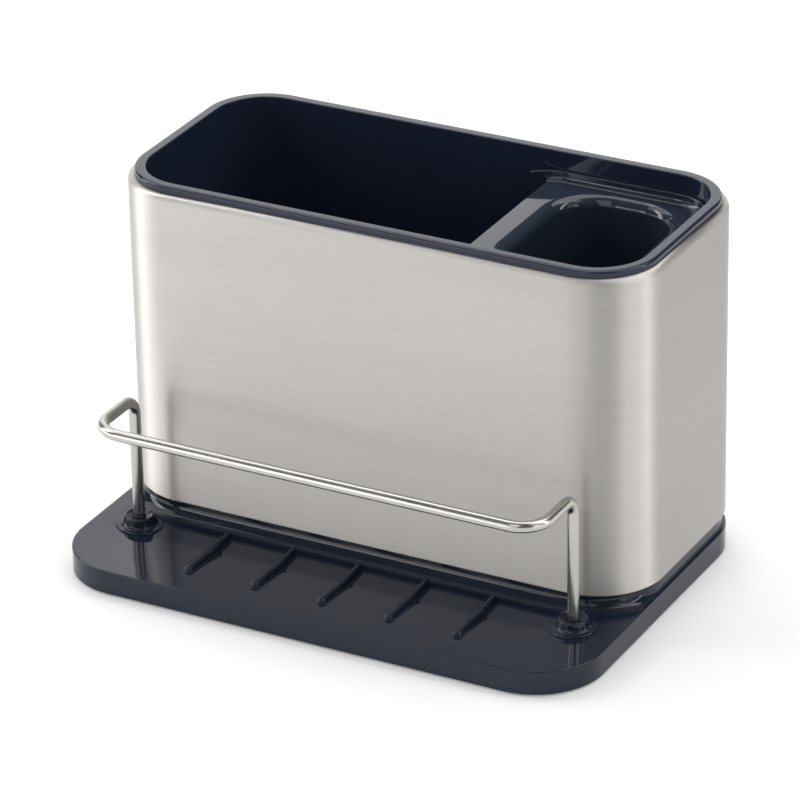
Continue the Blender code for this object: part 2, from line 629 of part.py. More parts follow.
def build_cup(material):
    """Drop-in cup: a deep tapered well under a shelf with a raised lip at the walls."""
    flange_inset = RIM_INNER_INSET + CUP_PLAY
    flange_right = SLEEVE_WIDTH / 2 - flange_inset
    flange_left = SHELF_LEFT_EDGE - CUP_EAR - CUP_LIP_HEIGHT - CUP_LIP_FILLET
    flange_half_x = (flange_right - flange_left) / 2
    flange_half_y = SLEEVE_DEPTH / 2 - flange_inset
    flange_corner = SLEEVE_CORNER - flange_inset
    flange_centre = ((flange_right + flange_left) / 2, SLEEVE_Y)
    lip_foot = CUP_LIP_THICKNESS + CUP_LIP_FILLET
    hole_left = SHELF_LEFT_EDGE + HOLE_LEFT_STRIP
    hole_right = flange_right - lip_foot - HOLE_RIGHT_LAND
    hole_half_x = (hole_right - hole_left) / 2
    hole_half_y = flange_half_y - lip_foot - HOLE_SIDE_LAND
    hole_corner = HOLE_CORNER_SHARE * min(hole_half_x, hole_half_y)
    hole_centre = ((hole_right + hole_left) / 2, SLEEVE_Y)

    def flange(inset):
        return rounded_outline(flange_half_x - inset, flange_half_y - inset,
                               flange_corner - inset, flange_centre)

    def hole(inset):
        return rounded_outline(hole_half_x - inset, hole_half_y - inset,
                               hole_corner - inset, hole_centre)

    lip_top_z = SHELF_Z + CUP_LIP_HEIGHT
    cup_floor_z = CUP_BOTTOM_Z + CUP_WALL
    bottom_inset = HOLE_LIP_RADIUS + CUP_DRAFT
    inner_radius = CUP_FLOOR_RADIUS - CUP_WALL
    rings = []
    for angle in arc_steps(270.0, 180.0, ARC_STEPS - 1):
        inset = bottom_inset - CUP_WALL + CUP_FLOOR_RADIUS * (1.0 + math.cos(angle))
        rings.append(ring(hole(inset), CUP_BOTTOM_Z + CUP_FLOOR_RADIUS * (1.0 + math.sin(angle))))
    under_radius = HOLE_LIP_RADIUS - CUP_WALL
    for angle in arc_steps(0.0, 90.0, ARC_STEPS - 1):
        height = SHELF_Z - HOLE_LIP_RADIUS + under_radius * math.sin(angle)
        rings.append(ring(hole(under_radius * math.cos(angle)), height))
    rings.append(ring(flange(0.0), SHELF_Z - CUP_WALL))
    rings.append(ring(flange(0.0), lip_top_z - CUP_LIP_THICKNESS / 4))
    rings.append(ring(flange(CUP_LIP_THICKNESS / 4), lip_top_z))
    rings.append(ring(flange(CUP_LIP_THICKNESS), lip_top_z))
    for angle in arc_steps(180.0, 270.0, ARC_STEPS):
        inset = CUP_LIP_THICKNESS + CUP_LIP_FILLET * (1.0 + math.cos(angle))
        rings.append(ring(flange(inset), SHELF_Z + CUP_LIP_FILLET * (1.0 + math.sin(angle))))
    for angle in arc_steps(90.0, 0.0, ARC_STEPS):
        inset = HOLE_LIP_RADIUS * math.cos(angle)
        rings.append(ring(hole(inset), SHELF_Z - HOLE_LIP_RADIUS * (1.0 - math.sin(angle))))
    for angle in arc_steps(180.0, 270.0, ARC_STEPS - 1):
        inset = bottom_inset + inner_radius * (1.0 + math.cos(angle))
        rings.append(ring(hole(inset), cup_floor_z + inner_radius * (1.0 + math.sin(angle))))
    cup = skin_rings("cup_insert", rings, material)
    add_boolean(cup, ear_cutter("ear_guide", flange_left, lip_top_z), "DIFFERENCE")
    for index in range(CUP_DRAIN_COUNT):
        y = SLEEVE_Y + (index - (CUP_DRAIN_COUNT - 1) / 2) * CUP_DRAIN_PITCH
        hole_tool = turned_solid(f"cup_drain_guide_{index + 1}", [
            (CUP_DRAIN_RADIUS, CUP_BOTTOM_Z - CUT_OVERRUN),
            (CUP_DRAIN_RADIUS, cup_floor_z + CUT_OVERRUN),
        ], (hole_centre[0], y))
        add_boolean(cup, hole_tool, "DIFFERENCE")
    return cup


def ear_cutter(name, flange_left, lip_top_z):
    """Cutter for the shelf's free edge, which sweeps outwards up the lip into an ear."""
    far_x = flange_left - CUT_OVERRUN
    low_z = SHELF_Z - CUP_WALL - CUT_OVERRUN
    high_z = lip_top_z + CUT_OVERRUN
    profile = [(far_x, low_z), (SHELF_LEFT_EDGE, low_z)]
    ear_steps = 2 * ARC_STEPS
    for step in range(ear_steps + 1):
        share = step / ear_steps
        x = SHELF_LEFT_EDGE - CUP_EAR * share ** 2
        profile.append((x, SHELF_Z + CUP_LIP_HEIGHT * share))
    profile.append((SHELF_LEFT_EDGE - CUP_EAR, high_z))
    profile.append((far_x, high_z))
    half_y = SLEEVE_DEPTH / 2
    return skin_rings(name, [
        [(x, SLEEVE_Y - half_y, z) for x, z in profile],
        [(x, SLEEVE_Y + half_y, z) for x, z in profile],
    ])


def rail_path():
    """Centre line of the rail, from the left post round the front bar to the right post."""
    bar_y = POST_Y - RAIL_REACH
    half = [(POST_X, POST_Y, SOCKET_FLOOR + SEAT_GAP)]
    for angle in arc_steps(0.0, 90.0, 2 * ARC_STEPS):
        y = POST_Y - TOP_BEND_RADIUS * (1.0 - math.cos(angle))
        z = RAIL_HEIGHT - TOP_BEND_RADIUS * (1.0 - math.sin(angle))
        half.append((POST_X, y, z))
    for angle in arc_steps(0.0, 90.0, 2 * ARC_STEPS):
        x = POST_X - CORNER_BEND_RADIUS * (1.0 - math.cos(angle))
        y = bar_y + CORNER_BEND_RADIUS * (1.0 - math.sin(angle))
        half.append((x, y, RAIL_HEIGHT))
    left = [(-x, y, z) for x, y, z in half]
    return left + half[::-1]


def build_rail(material):
    """One bent wire with two posts and a front bar."""
    curve = bpy.data.curves.new("rail", "CURVE")
    curve.dimensions = "3D"
    curve.bevel_depth = WIRE_RADIUS
    curve.bevel_resolution = WIRE_BEVEL_STEPS
    curve.use_fill_caps = True
    points = rail_path()
    spline = curve.splines.new("POLY")
    spline.points.add(len(points) - 1)
    for spline_point, place in zip(spline.points, points):
        spline_point.co = (*place, 1.0)
    spline.use_smooth = True
    curve.materials.append(material)
    rail = bpy.data.objects.new("rail", curve)
    bpy.context.scene.collection.objects.link(rail)
    return rail


def build_caddy():
    """Model every piece of the caddy."""
    clear_scene()
    tray_plastic = principled("tray_plastic", (0.018, 0.024, 0.036), 0.16)
    liner_plastic = principled("liner_plastic", (0.012, 0.017, 0.028), 0.16)
    cup_plastic = principled("cup_plastic", (0.030, 0.040, 0.055), 0.16)
    brushed_steel = principled("brushed_steel", (0.55, 0.53, 0.50), 0.34, 1.0)
    wire_steel = principled("wire_steel", (0.60, 0.59, 0.56), 0.22, 1.0)
    rubber = principled("foot_rubber", (0.020, 0.020, 0.022), 0.75)
    build_base(tray_plastic)
    build_feet(rubber)
    build_sleeve(brushed_steel)
    build_liner(liner_plastic)
    build_cup(cup_plastic)
    build_rail(wire_steel)


build_caddy()
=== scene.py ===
import math

import bmesh
import bpy
from mathutils import Matrix, Vector


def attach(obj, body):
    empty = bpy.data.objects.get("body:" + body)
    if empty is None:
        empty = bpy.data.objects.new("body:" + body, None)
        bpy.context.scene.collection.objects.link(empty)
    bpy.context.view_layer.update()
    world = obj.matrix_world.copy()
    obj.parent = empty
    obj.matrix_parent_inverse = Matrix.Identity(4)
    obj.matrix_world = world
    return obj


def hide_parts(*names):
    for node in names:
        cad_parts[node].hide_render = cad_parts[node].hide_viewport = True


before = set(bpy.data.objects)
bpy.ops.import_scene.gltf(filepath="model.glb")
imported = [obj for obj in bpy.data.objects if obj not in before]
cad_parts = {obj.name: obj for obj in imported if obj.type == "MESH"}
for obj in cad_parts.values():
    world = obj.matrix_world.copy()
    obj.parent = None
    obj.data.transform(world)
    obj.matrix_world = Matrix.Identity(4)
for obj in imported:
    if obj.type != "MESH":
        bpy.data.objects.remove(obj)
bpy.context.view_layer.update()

# Sizes of the caddy in metres: the frame's own, apart from the finer rounds of the rim and
# the ribs
SEAT_GAP = 0.0003
SLEEVE_WIDTH = 0.2290
SLEEVE_DEPTH = 0.1070
SLEEVE_HEIGHT = 0.1329
SLEEVE_CORNER = 0.0280
SHEET = 0.0008
SHOULDER_RADIUS = 0.0022
HEM_RADIUS = 0.0012
HEM_FLANGE = 0.0042
APRON_DEPTH = 0.0540
TRAY_MARGIN = 0.0002
FOOT_PROUD = 0.0008
SKIRT_HEIGHT = 0.0097
TRAY_WALL = 0.0024
EDGE_RADIUS = 0.0005
DISH_DEPTH = 0.0019
DISH_FRONT_RUN = 0.0356
DISH_SIDE_RUN = 0.0450
DISH_BACK_RISE = 0.0012
FRONT_STRAIGHT_SHARE = 0.15
PLINTH_INSET = 0.0012
LEDGE_RISE = 0.0050
COVE_RADIUS = 0.0070
COVE_SIDE_LAND = 0.0006
COVE_TOP_LAND = 0.0008
SPIGOT_RISE = 0.0050
SPIGOT_WALL = 0.0024
SPIGOT_PLAY = 0.0004
WELL_FLOOR_DROP = 0.0045
RIB_COUNT = 5
RIB_PITCH = 0.0294
RIB_BACK_WIDTH = 0.0026
RIB_NOSE_WIDTH = 0.0040
RIB_BACK_GAP = 0.0058
RIB_LENGTH = 0.0336
RIB_NOSE_HEIGHT = 0.0022
RIB_BACK_HEIGHT = 0.0029
RIB_ROOT_FILLET = 0.0004
RIB_CROWN_SHARE = 0.90
WIRE_DIAMETER = 0.0047
POST_SIDE_INSET = 0.0186
POST_STANDOFF = 0.0128
RAIL_HEIGHT = 0.0660
RAIL_REACH = 0.0314
TOP_BEND_RADIUS = 0.0070
CORNER_BEND_RADIUS = 0.0113
SOCKET_TOP = 0.0144
SOCKET_FLOOR = 0.0045
SOCKET_PLAY = 0.0004
COLLAR_RADIUS = 0.0059
COLLAR_EDGE = 0.0005
COLLAR_FUNNEL = 0.0010
NECK_RADIUS = 0.0064
NECK_FILLET = 0.0014
FLANGE_RADIUS = 0.0094
FLANGE_THICKNESS = 0.0007
FLANGE_EDGE = 0.0004
SOCKET_TUBE_RADIUS = 0.0052
SOCKET_TUBE_BOTTOM = 0.0020
WEB_THICKNESS = 0.0016
WEB_CLEARANCE = 0.0010
WEB_ROOT = 0.0010
APRON_WEB_OFFSET = 0.0260
APRON_WEB_SIDE_GAP = 0.0265
CROSS_WEB_SPACING = 0.0480
CROSS_WEB_COUNT = 3
FOOT_RADIUS = 0.0060
FOOT_THICKNESS = 0.0024
FOOT_SEAT_WALL = 0.0020
FOOT_CORNER_INSET = 0.0225
RIM_INSET = 0.0027
RIM_WIDTH = 0.0045
RIM_HEIGHT = 0.0030
RIM_EDGE = 0.0004
RIM_CROWN = 0.00004
RIM_OUTER_ROUND = 0.0009
LINER_WALL = 0.0020
LINER_PLAY = 0.0004
LINER_DRAFT = 0.0020
LINER_LIFT = 0.0006
LINER_FLOOR_RADIUS = 0.0060
DRAIN_SLOT_WIDTH = 0.0030
DRAIN_SLOT_LENGTH = 0.0180
DRAIN_SLOT_PITCH = 0.0240
DRAIN_SLOT_COLUMNS = 4
DRAIN_ROW_SPACING = 0.0360
CUP_PLAY = 0.0006
CUP_WALL = 0.0018
SHELF_DROP = 0.0117
SHELF_REACH = 0.0829
CUP_LIP_HEIGHT = 0.0040
CUP_LIP_THICKNESS = 0.0012
CUP_LIP_FILLET = 0.0025
CUP_EAR = 0.0062
HOLE_LEFT_STRIP = 0.0082
HOLE_RIGHT_LAND = 0.0052
HOLE_SIDE_LAND = 0.0003
HOLE_CORNER_SHARE = 0.81
HOLE_LIP_RADIUS = 0.0048
CUP_DRAFT = 0.0020
CUP_FLOOR_RADIUS = 0.0060
CUP_DRAIN_RADIUS = 0.0025
CUP_DRAIN_PITCH = 0.0180
CUP_DRAIN_COUNT = 3
CUT_OVERRUN = 0.004

# Facets of the shown pieces
CORNER_STEPS = 24
FRONT_STEPS = 24
SIDE_STEPS = 8
ARC_STEPS = 8
ROUND_SIDES = 64
WIRE_BEVEL_STEPS = 10
WIRE_BEND_STEPS = 24
DISH_STEPS = 40
CEILING_STEPS = 12
RIB_STEPS = 40
RIB_END_STEPS = 24
RIB_ROOT_STEPS = 5
RIB_CROWN_STEPS = 12
BOSS_EDGE_STEPS = 6
BOSS_NECK_STEPS = 12
FUNNEL_STEPS = 8
RIM_STEPS = 6
LIP_STEPS = 5
EAR_STEPS = 24

# Where some rounds end, and how some curves run
RIB_CROWN_END_DEGREES = 84.0
RIM_ROUND_END_DEGREES = 102.0
FUNNEL_START_SHARE = 0.1
FUNNEL_POWER = 0.7
SLOT_END_SHARE = 0.999
SHARP_DEGREES = 40.0
CUT_SHARP_DEGREES = 35.0
FOOT_COUNT = 4

# Camera, in the frame of the sleeve's centre
CAMERA_AZIMUTH = 28.49356
CAMERA_ELEVATION = 26.41388
CAMERA_ROLL = -1.14506
CAMERA_FOCAL_PX = 4938.16
CAMERA_OFFSET = (-0.01262, 0.04948)
CAMERA_DISTANCE = 1.9768748
CAMERA_ORIGIN = (0.0, 0.0269, 0.0008)
CAMERA_CLIP_START = 0.05
CAMERA_CLIP_END = 50.0
IMAGE_PX = 800
SENSOR_MM = 36.0

# Heights and places that follow
TRAY_EDGE_Z = FOOT_PROUD + SKIRT_HEIGHT
LEDGE_Z = TRAY_EDGE_Z + LEDGE_RISE
SPIGOT_TOP_Z = LEDGE_Z + SPIGOT_RISE
WELL_FLOOR_Z = LEDGE_Z - WELL_FLOOR_DROP
SLEEVE_BOTTOM_Z = LEDGE_Z + SEAT_GAP
SLEEVE_TOP_Z = SLEEVE_BOTTOM_Z + SLEEVE_HEIGHT
RIM_TOP_Z = SLEEVE_TOP_Z + RIM_HEIGHT
LINER_BOTTOM_Z = SPIGOT_TOP_Z + LINER_LIFT
LINER_FLOOR_Z = LINER_BOTTOM_Z + LINER_WALL
SHELF_Z = RIM_TOP_Z - SHELF_DROP
CUP_BOTTOM_Z = LINER_FLOOR_Z + SEAT_GAP
TOTAL_DEPTH = APRON_DEPTH + SLEEVE_DEPTH + TRAY_MARGIN
SLEEVE_Y = TOTAL_DEPTH / 2 - TRAY_MARGIN - SLEEVE_DEPTH / 2
SLEEVE_FRONT_Y = SLEEVE_Y - SLEEVE_DEPTH / 2
TRAY_HALF_X = SLEEVE_WIDTH / 2 + TRAY_MARGIN
TRAY_HALF_Y = TOTAL_DEPTH / 2
TRAY_CORNER = SLEEVE_CORNER + TRAY_MARGIN
PLINTH_FRONT_Y = SLEEVE_FRONT_Y + PLINTH_INSET
SPIGOT_INSET = HEM_FLANGE + SPIGOT_PLAY
RIM_INNER_INSET = RIM_INSET + RIM_WIDTH
TOP_FLANGE = RIM_INNER_INSET - LINER_WALL - LINER_PLAY
POST_X = SLEEVE_WIDTH / 2 - POST_SIDE_INSET
POST_Y = SLEEVE_FRONT_Y - POST_STANDOFF
SHELF_LEFT_EDGE = SLEEVE_WIDTH / 2 - SHELF_REACH
DRAIN_FIELD_X = (SHELF_LEFT_EDGE - SLEEVE_WIDTH / 2 + RIM_INNER_INSET) / 2
WIRE_RADIUS = WIRE_DIAMETER / 2

# Floor and light: the floor glows a little by the object, and more with distance, where
# the lights fall off, and turns up at its edge. Each soft light has a name, its azimuth
# and elevation, the width and height it covers in degrees, and its radiance.
FLOOR_RADIUS = 12.0
FLOOR_SIDES = 96
BACKDROP_HEIGHT = 1.7
FLOOR_COLOUR = (0.93, 0.93, 0.93)
FLOOR_ROUGHNESS = 0.9
FLOOR_SPECULAR = 0.2
FLOOR_GLOW = 0.16
FLOOR_FAR_GLOW = 1.0
FLOOR_NEAR = 0.4
FLOOR_FAR = 3.0
WORLD_STRENGTH = 0.12
LIGHT_DISTANCE = 2.0
LIGHT_TARGET = (0.0, 0.0, 0.05)
SOFTBOXES = (
    ("front_left_low", -40.0, 7.0, 60.0, 20.0, 1.65),
    ("left_strip", -80.0, 22.0, 14.0, 52.0, 4.5),
    ("left_high", -104.0, 50.0, 54.0, 26.0, 1.6),
    ("front_left_key", -29.0, 21.0, 11.0, 11.0, 4.0),
    ("front_panel", 0.0, 40.0, 26.0, 50.0, 1.15),
    ("right_panel", 80.0, 22.0, 20.0, 44.0, 0.8),
    ("right_front_key", 67.0, 16.0, 9.0, 26.0, 1.6),
    ("right_strip", 106.0, 28.0, 8.0, 52.0, 4.8),
    ("right_high", 106.0, 60.0, 44.0, 14.0, 1.3),
    ("back_left", -150.0, 22.5, 60.0, 19.0, 1.5),
    ("overhead", 180.0, 68.0, 56.0, 40.0, 2.1),
)


# Materials: how far each noise stretches along x, y and z, the colours and roughness that it
# runs between, and the strength and depth in metres of the bumps
NOISE_LOW = 0.25
NOISE_HIGH = 0.75
STEEL_GRAIN = (14.0, 14.0, 2600.0)
STEEL_GRAIN_ROUGHNESS = 0.6
STEEL_STREAKS = (22.0, 22.0, 760.0)
STEEL_STREAKS_ROUGHNESS = 0.7
STEEL_GRAIN_SHARE = 0.5
STEEL_CLOUDS = (6.0, 6.0, 60.0)
STEEL_COLOURS = ((0.604, 0.584, 0.559), (0.738, 0.713, 0.683))
STEEL_ROUGHNESS = (0.56, 0.59)
STEEL_BUMP = (0.10, 0.00004)
STEEL_ANISOTROPY = 0.91
STEEL_TURN = 0.25
WIRE_MARKS = (900.0, 900.0, 900.0)
WIRE_PATCHES = (60.0, 60.0, 60.0)
WIRE_COLOURS = ((0.48, 0.465, 0.44), (0.54, 0.525, 0.50))
WIRE_ROUGHNESS = (0.20, 0.28)
WIRE_BUMP = (0.05, 0.00003)
PLASTIC_MOTTLE = (35.0, 35.0, 35.0)
PLASTIC_WEAR = (420.0, 420.0, 420.0)
PLASTIC_RIPPLE = (90.0, 90.0, 90.0)
PLASTIC_BUMP = (0.04, 0.0002)
TRAY_COLOURS = ((0.010, 0.016, 0.031), (0.013, 0.020, 0.037))
TRAY_ROUGHNESS = (0.03, 0.06)
TRAY_IOR = 1.40
LINER_COLOURS = ((0.014, 0.020, 0.040), (0.017, 0.024, 0.047))
LINER_ROUGHNESS = (0.04, 0.08)
LINER_IOR = 1.44
CUP_COLOURS = ((0.020, 0.028, 0.044), (0.025, 0.034, 0.052))
CUP_ROUGHNESS = (0.04, 0.07)
CUP_IOR = 1.50
RUBBER_SPECKLE = (1500.0, 1500.0, 1500.0)
RUBBER_COLOURS = ((0.014, 0.014, 0.015), (0.022, 0.022, 0.024))
RUBBER_ROUGHNESS = (0.70, 0.85)
RUBBER_BUMP = (0.2, 0.00005)


def new_material(name):
    """Return a material's node tree, its shader node, and the material."""
    material = bpy.data.materials.new(name)
    material.use_nodes = True
    tree = material.node_tree
    return tree, tree.nodes["Principled BSDF"], material


def object_coordinates(tree, scale=(1.0, 1.0, 1.0)):
    """Object coordinates stretched by a scale for each axis."""
    coordinates = tree.nodes.new("ShaderNodeTexCoord")
    mapping = tree.nodes.new("ShaderNodeMapping")
    mapping.inputs["Scale"].default_value = scale
    tree.links.new(coordinates.outputs["Object"], mapping.inputs["Vector"])
    return mapping.outputs["Vector"]


def noise(tree, scale, detail, roughness=0.5):
    """Value of a noise texture on object coordinates with a scale for each axis."""
    vector = object_coordinates(tree, scale)
    node = tree.nodes.new("ShaderNodeTexNoise")
    node.inputs["Scale"].default_value = 1.0
    node.inputs["Detail"].default_value = detail
    node.inputs["Roughness"].default_value = roughness
    tree.links.new(vector, node.inputs["Vector"])
    return node.outputs["Fac"]


def calculate(tree, operation, *values):
    """Result of a math node on numbers and other nodes' outputs."""
    node = tree.nodes.new("ShaderNodeMath")
    node.operation = operation
    for index, value in enumerate(values):
        if isinstance(value, float):
            node.inputs[index].default_value = value
        else:
            tree.links.new(value, node.inputs[index])
    return node.outputs["Value"]


def map_range(tree, source, source_range, target_range):
    """Map a value from one range to another."""
    node = tree.nodes.new("ShaderNodeMapRange")
    node.inputs["From Min"].default_value = source_range[0]
    node.inputs["From Max"].default_value = source_range[1]
    node.inputs["To Min"].default_value = target_range[0]
    node.inputs["To Max"].default_value = target_range[1]
    tree.links.new(source, node.inputs["Value"])
    return node.outputs["Result"]


def paint_colour(tree, shader, source, colours):
    """Give a shader a colour that runs between two by a value."""
    node = tree.nodes.new("ShaderNodeMix")
    node.data_type = "RGBA"
    node.inputs["A"].default_value = (*colours[0], 1.0)
    node.inputs["B"].default_value = (*colours[1], 1.0)
    tree.links.new(source, node.inputs["Factor"])
    tree.links.new(node.outputs["Result"], shader.inputs["Base Color"])


def paint_roughness(tree, shader, source, values):
    """Give a shader a roughness that runs between two by a noise."""
    tree.links.new(map_range(tree, source, (NOISE_LOW, NOISE_HIGH), values),
                   shader.inputs["Roughness"])


def paint_bump(tree, shader, source, strength, distance):
    """Give a shader bumps from a value."""
    node = tree.nodes.new("ShaderNodeBump")
    node.inputs["Strength"].default_value = strength
    node.inputs["Distance"].default_value = distance
    tree.links.new(source, node.inputs["Height"])
    tree.links.new(node.outputs["Normal"], shader.inputs["Normal"])


def brushed_steel(name):
    """Sheet steel with a fine grain that runs across."""
    tree, shader, material = new_material(name)
    shader.inputs["Metallic"].default_value = 1.0
    shader.inputs["Anisotropic"].default_value = STEEL_ANISOTROPY
    shader.inputs["Anisotropic Rotation"].default_value = STEEL_TURN
    fine = noise(tree, STEEL_GRAIN, 3.0, STEEL_GRAIN_ROUGHNESS)
    coarse = noise(tree, STEEL_STREAKS, 3.0, STEEL_STREAKS_ROUGHNESS)
    clouds = noise(tree, STEEL_CLOUDS, 2.0)
    streaks = calculate(tree, "MULTIPLY", coarse, 1.0 - STEEL_GRAIN_SHARE)
    grain = calculate(tree, "MULTIPLY_ADD", fine, STEEL_GRAIN_SHARE, streaks)
    paint_colour(tree, shader, grain, STEEL_COLOURS)
    paint_roughness(tree, shader, clouds, STEEL_ROUGHNESS)
    paint_bump(tree, shader, fine, *STEEL_BUMP)
    tangent = tree.nodes.new("ShaderNodeTangent")
    tangent.direction_type = "RADIAL"
    tangent.axis = "Z"
    tree.links.new(tangent.outputs["Tangent"], shader.inputs["Tangent"])
    return material


def wire_steel(name):
    """Drawn and polished stainless wire."""
    tree, shader, material = new_material(name)
    shader.inputs["Metallic"].default_value = 1.0
    patches = noise(tree, WIRE_PATCHES, 2.0)
    paint_colour(tree, shader, patches, WIRE_COLOURS)
    paint_roughness(tree, shader, patches, WIRE_ROUGHNESS)
    paint_bump(tree, shader, noise(tree, WIRE_MARKS, 3.0), *WIRE_BUMP)
    return material


def glossy_plastic(name, colours, roughness, ior):
    """Moulded plastic with a slight ripple and a fine wear in its gloss."""
    tree, shader, material = new_material(name)
    shader.inputs["IOR"].default_value = ior
    paint_colour(tree, shader, noise(tree, PLASTIC_MOTTLE, 2.0), colours)
    paint_roughness(tree, shader, noise(tree, PLASTIC_WEAR, 3.0), roughness)
    paint_bump(tree, shader, noise(tree, PLASTIC_RIPPLE, 1.0), *PLASTIC_BUMP)
    return material


def foot_rubber(name):
    """Matte rubber."""
    tree, shader, material = new_material(name)
    speckle = noise(tree, RUBBER_SPECKLE, 3.0)
    paint_colour(tree, shader, speckle, RUBBER_COLOURS)
    paint_roughness(tree, shader, speckle, RUBBER_ROUGHNESS)
    paint_bump(tree, shader, speckle, *RUBBER_BUMP)
    return material


STEEL = brushed_steel("sleeve_steel")
WIRE = wire_steel("rail_steel")
TRAY = glossy_plastic("tray_gloss", TRAY_COLOURS, TRAY_ROUGHNESS, TRAY_IOR)
LINER = glossy_plastic("liner_gloss", LINER_COLOURS, LINER_ROUGHNESS, LINER_IOR)
CUP = glossy_plastic("cup_gloss", CUP_COLOURS, CUP_ROUGHNESS, CUP_IOR)
RUBBER = foot_rubber("pad_rubber")


# Shapes

def arc_steps(start, end, count):
    """Return count + 1 angles in radians from start to end, given in degrees."""
    return [math.radians(start + (end - start) * step / count) for step in range(count + 1)]


def spread(start, end, count):
    """Return count + 1 evenly spaced values from start to end."""
    return [start + (end - start) * step / count for step in range(count + 1)]


def clamp_unit(value):
    """Limit a value to the range 0 to 1."""
    return min(1.0, max(0.0, value))


def ease(value):
    """Blend from 0 to 1 that starts and ends level."""
    share = clamp_unit(value)
    return share * share * (3.0 - 2.0 * share)


def rounded_outline(half_x, half_y, radius, centre=(0.0, 0.0)):
    """Points and outward normals round a rounded rectangle, anticlockwise."""
    radius = min(radius, half_x, half_y)
    corners = (
        (half_x - radius, -half_y + radius, -90.0, SIDE_STEPS),
        (half_x - radius, half_y - radius, 0.0, FRONT_STEPS),
        (-half_x + radius, half_y - radius, 90.0, SIDE_STEPS),
        (-half_x + radius, -half_y + radius, 180.0, FRONT_STEPS),
    )
    points = []
    for index, (corner_x, corner_y, start, straight_steps) in enumerate(corners):
        for angle in arc_steps(start, start + 90.0, CORNER_STEPS):
            normal = (math.cos(angle), math.sin(angle))
            points.append((centre[0] + corner_x + radius * normal[0],
                           centre[1] + corner_y + radius * normal[1], normal))
        next_x, next_y, next_start, _ = corners[(index + 1) % len(corners)]
        end_angle = math.radians(next_start)
        end_x = centre[0] + next_x + radius * math.cos(end_angle)
        end_y = centre[1] + next_y + radius * math.sin(end_angle)
        last_x, last_y, normal = points[-1]
        for step in range(1, straight_steps):
            share = step / straight_steps
            points.append((last_x + (end_x - last_x) * share,
                           last_y + (end_y - last_y) * share, normal))
    return points


def ring(outline, height):
    """Lift an outline to a height."""
    return [(x, y, height) for x, y, _ in outline]


def sleeve_outline(inset):
    """Outline of the sleeve, moved inwards by inset."""
    return rounded_outline(SLEEVE_WIDTH / 2 - inset, SLEEVE_DEPTH / 2 - inset,
                           SLEEVE_CORNER - inset, (0.0, SLEEVE_Y))


def tray_outline(inset):
    """Outline of the base tray, moved inwards by inset."""
    return rounded_outline(TRAY_HALF_X - inset, TRAY_HALF_Y - inset, TRAY_CORNER - inset)


def link_mesh(name, shape, material):
    """Turn a bmesh into an object of the scene."""
    mesh = bpy.data.meshes.new(name)
    bmesh.ops.recalc_face_normals(shape, faces=shape.faces)
    shape.to_mesh(mesh)
    shape.free()
    item = bpy.data.objects.new(name, mesh)
    bpy.context.scene.collection.objects.link(item)
    if material is not None:
        mesh.materials.append(material)
    mesh.shade_smooth()
    mesh.set_sharp_from_angle(angle=math.radians(SHARP_DEGREES))
    return item


def skin(shape, rings, closed_loop=False, caps=(True, True)):
    """Bridge rings of points inside a bmesh."""
    loops = [[shape.verts.new(point) for point in points] for points in rings]
    pairs = list(zip(loops, loops[1:]))
    if closed_loop:
        pairs.append((loops[-1], loops[0]))
    for lower, upper in pairs:
        count = len(lower)
        for index in range(count):
            following = (index + 1) % count
            shape.faces.new((lower[index], lower[following], upper[following], upper[index]))
    if caps[0] and not closed_loop:
        shape.faces.new(loops[0])
    if caps[1] and not closed_loop:
        shape.faces.new(loops[-1])


def skin_rings(name, rings, material=None, **options):
    """One object from a stack of rings."""
    shape = bmesh.new()
    skin(shape, rings, **options)
    return link_mesh(name, shape, material)


def turned_rings(profile, centre):
    """Rings of a profile of (radius, height) pairs about a vertical axis."""
    rings = []
    for radius, height in profile:
        points = []
        for side in range(ROUND_SIDES):
            angle = math.tau * side / ROUND_SIDES
            x = centre[0] + radius * math.cos(angle)
            y = centre[1] + radius * math.sin(angle)
            points.append((x, y, height(x, y) if callable(height) else height))
        rings.append(points)
    return rings


def cut(item, tools):
    """Subtract closed tools from an object, apply the cuts and remove the tools."""
    for tool in tools:
        modifier = item.modifiers.new(tool.name, "BOOLEAN")
        modifier.operation = "DIFFERENCE"
        modifier.object = tool
        modifier.solver = "EXACT"
    bpy.context.view_layer.update()
    depsgraph = bpy.context.evaluated_depsgraph_get()
    mesh = bpy.data.meshes.new_from_object(item.evaluated_get(depsgraph))
    item.modifiers.clear()
    item.data = mesh
    mesh.shade_smooth()
    mesh.set_sharp_from_angle(angle=math.radians(CUT_SHARP_DEGREES))
    for tool in tools:
        bpy.data.objects.remove(tool, do_unlink=True)


def show(item, body, node=None):
    """Join a piece to its body, and hide the node that it stands for."""
    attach(item, body)
    if node is not None:
        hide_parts(node)


# Base

def dish_height(x, y):
    """Height of the apron's top surface."""
    from_front = y + TRAY_HALF_Y
    from_side = min(TRAY_HALF_X - abs(x), TRAY_HALF_Y - y)
    front = clamp_unit(from_front / DISH_FRONT_RUN)
    fall = FRONT_STRAIGHT_SHARE * front + (1.0 - FRONT_STRAIGHT_SHARE) * front ** 2
    back_run = APRON_DEPTH - DISH_FRONT_RUN
    back = clamp_unit((from_front - DISH_FRONT_RUN) / back_run)
    depth = DISH_DEPTH * fall - DISH_BACK_RISE * back
    return TRAY_EDGE_Z - depth * ease(from_side / DISH_SIDE_RUN)


def above_dish(rise):
    """Height function that stays a set rise above the apron's surface."""
    return lambda x, y: dish_height(x, y) + rise


def cove_radius_at(x, normal):
    """Cove radius that fits between the plinth and the tray's edge at this point."""
    room = TRAY_MARGIN + PLINTH_INSET
    if normal[1] < 0.0:
        room = (TRAY_HALF_X - abs(x)) / abs(normal[0])
    return min(room - COVE_SIDE_LAND, COVE_RADIUS)


